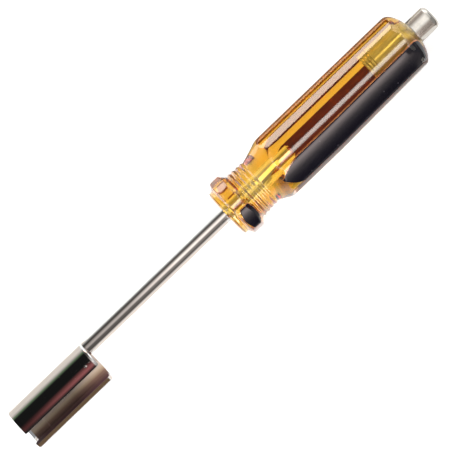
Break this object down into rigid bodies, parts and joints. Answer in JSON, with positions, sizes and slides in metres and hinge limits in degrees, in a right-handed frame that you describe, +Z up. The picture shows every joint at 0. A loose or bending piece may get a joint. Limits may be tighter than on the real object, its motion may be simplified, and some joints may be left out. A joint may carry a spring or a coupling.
{
  "type": "coaxial connector removal tool",
  "caption": "Hand tool with a slotted tubular socket set off to one side of a steel shaft, a faceted amber handle with black inlays and a steel post at its end.",
  "frame": {"origin": "on the flat of the grip that the tool lies on, half way along the grip and under the axis of the shaft", "axes": "+X points from the handle to the socket's mouth, +Z is up from the flat that the tool lies on, +Y is the side that the socket is set off to"},
  "size_m": [0.2466, 0.0309, 0.0277],
  "materials": {
    "chrome": "polished plating",
    "nickel": "satin plating",
    "amber": "polished clear acetate",
    "black": "polished acetate"
  },
  "bodies": {
    "root": {"socket": "chrome", "shaft": "chrome", "handle_body": "amber", "grip_strip_near": "black", "grip_strip_under": "black", "collar_strip_near": "black", "collar_strip_under": "black", "end_post": "nickel"}
  },
  "joints": []
}
